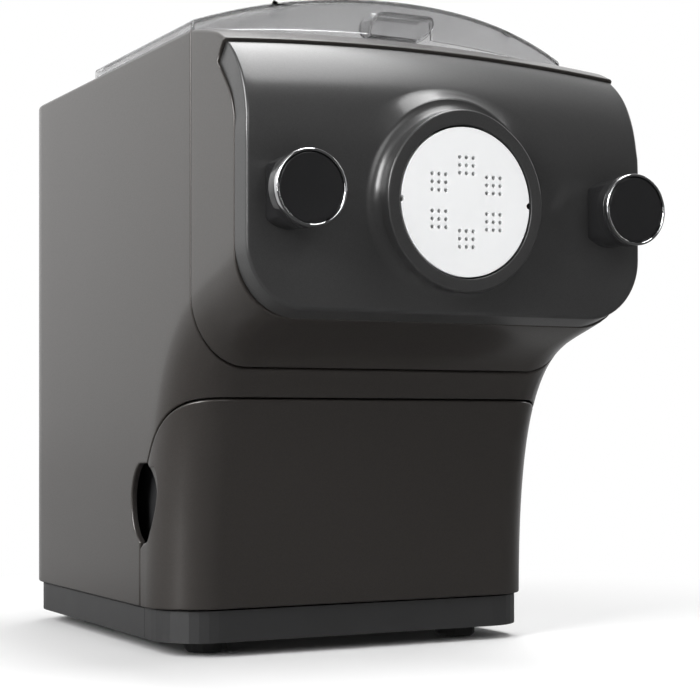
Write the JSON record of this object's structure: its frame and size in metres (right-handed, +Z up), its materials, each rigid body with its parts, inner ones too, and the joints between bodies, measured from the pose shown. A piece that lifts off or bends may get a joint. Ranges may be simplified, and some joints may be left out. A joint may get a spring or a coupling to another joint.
{
  "type": "electric pasta maker",
  "caption": "Table-top electric pasta maker: geared kneading paddle and auger, clamped front panel with a shaping disc, clear hinged lid, pull-out drawer.",
  "frame": {"origin": "on the resting surface, under the middle of the width and of the depth over the knobs", "axes": "+Z up; front with disc and knobs towards -Y; +X to the viewer's right when facing the front"},
  "size_m": [0.215, 0.343, 0.3224],
  "materials": {
    "body_grey": "fine metallic warm grey, satin",
    "panel_grey": "dark metallic grey, satin gloss",
    "base_black": "matt black moulding",
    "inner_black": "matt black moulding",
    "knob_black": "high-gloss black",
    "chrome": "bright plated",
    "disc_white": "white food-safe moulding",
    "smoky_clear": "clear, slightly smoky",
    "steel": "ground steel",
    "brass": "sintered bronze, oiled",
    "gear_nylon": "natural nylon",
    "rubber": "soft black rubber",
    "board_green": "circuit board lacquer",
    "display_black": "dark window, polished",
    "cast_alloy": "cast, bead-blasted"
  },
  "bodies": {
    "root": {"body_shell": "body_grey", "head_shroud": "body_grey", "front_bulkhead": "inner_black", "left_knob_bush": "brass", "right_knob_bush": "brass", "shaping_disc": "disc_white", "base_plate": "base_black", "base_cover": "base_black", "front_left_foot": "rubber", "front_right_foot": "rubber", "rear_left_foot": "rubber", "rear_right_foot": "rubber", "front_left_load_cell": "cast_alloy", "front_right_load_cell": "cast_alloy", "rear_left_load_cell": "cast_alloy", "rear_right_load_cell": "cast_alloy", "drawer_bay": "inner_black", "left_hinge_bracket": "base_black", "right_hinge_bracket": "base_black", "control_bezel": "base_black", "display_window": "display_black", "control_board": "board_green", "rocker_housing": "base_black", "cord_gland": "rubber", "mixing_chamber": "inner_black", "extrusion_tube": "inner_black", "shaft_seal": "rubber", "idler_axle": "steel", "gear_plate": "steel", "gear_cover": "steel", "front_bearing": "brass", "rear_bearing": "brass", "motor_can": "cast_alloy", "power_board": "board_green"},
    "panel": {"front_panel": "panel_grey"},
    "left_knob": {"left_knob_grip": "knob_black", "left_knob_ring": "chrome", "left_knob_cap": "knob_black", "left_knob_stud": "steel"},
    "right_knob": {"right_knob_grip": "knob_black", "right_knob_ring": "chrome", "right_knob_cap": "knob_black", "right_knob_stud": "steel"},
    "drawer": {"drawer_front": "body_grey", "drawer_plinth": "base_black", "drawer_tray": "inner_black"},
    "lid": {"lid_dome": "smoky_clear", "lid_grip": "smoky_clear"},
    "mixing_shaft": {"drive_shaft": "steel", "kneading_paddle": "disc_white", "extrusion_auger": "disc_white", "output_gear": "gear_nylon"},
    "idler": {"idler_gear": "gear_nylon"},
    "motor_rotor": {"motor_shaft": "steel", "cooling_fan": "inner_black"},
    "power_key": {"power_button": "chrome"},
    "program_key": {"program_button": "chrome"},
    "menu_key": {"menu_button": "chrome"},
    "start_key": {"start_button": "chrome"},
    "mains_switch": {"power_rocker": "inner_black"}
  },
  "joints": [
    {"name": "panel_slide", "type": "slide", "parent": "root", "child": "panel", "axis": [0, -1, 0], "range_m": [0, 0.045]},
    {"name": "left_knob_turn", "type": "hinge", "parent": "panel", "child": "left_knob", "pos_m": [-0.0866, -0.16, 0.2178], "axis": [0, -1, 0], "range_deg": [0, 720]},
    {"name": "right_knob_turn", "type": "hinge", "parent": "panel", "child": "right_knob", "pos_m": [0.0866, -0.16, 0.2178], "axis": [0, -1, 0], "range_deg": [0, 720]},
    {"name": "drawer_slide", "type": "slide", "parent": "root", "child": "drawer", "axis": [0, -1, 0], "range_m": [0, 0.085]},
    {"name": "lid_hinge", "type": "hinge", "parent": "root", "child": "lid", "pos_m": [0, 0.0585, 0.3082], "axis": [-1, 0, 0], "range_deg": [0, 95]},
    {"name": "mixing_spin", "type": "hinge", "parent": "root", "child": "mixing_shaft", "pos_m": [0, 0, 0.2178], "axis": [0, 1, 0], "continuous": true},
    {"name": "idler_spin", "type": "hinge", "parent": "root", "child": "idler", "pos_m": [0, 0.11, 0.1428], "axis": [0, 1, 0], "continuous": true},
    {"name": "rotor_spin", "type": "hinge", "parent": "root", "child": "motor_rotor", "pos_m": [0, 0.11, 0.0838], "axis": [0, 1, 0], "continuous": true},
    {"name": "power_press", "type": "slide", "parent": "root", "child": "power_key", "axis": [0, 0, -1], "range_m": [0, 0.0012], "stiffness_N_per_m": 500, "springref_m": -0.001},
    {"name": "program_press", "type": "slide", "parent": "root", "child": "program_key", "axis": [0, 0, -1], "range_m": [0, 0.0012], "stiffness_N_per_m": 500, "springref_m": -0.001},
    {"name": "menu_press", "type": "slide", "parent": "root", "child": "menu_key", "axis": [0, 0, -1], "range_m": [0, 0.0012], "stiffness_N_per_m": 500, "springref_m": -0.001},
    {"name": "start_press", "type": "slide", "parent": "root", "child": "start_key", "axis": [0, 0, -1], "range_m": [0, 0.0012], "stiffness_N_per_m": 500, "springref_m": -0.001},
    {"name": "mains_tilt", "type": "hinge", "parent": "root", "child": "mains_switch", "pos_m": [0.062, 0.165, 0.048], "axis": [1, 0, 0], "range_deg": [-6, 6]}
  ],
  "couplings": [
    {"joint": "idler_spin", "follows": "mixing_spin", "ratio": -4},
    {"joint": "rotor_spin", "follows": "mixing_spin", "ratio": 17.455}
  ]
}
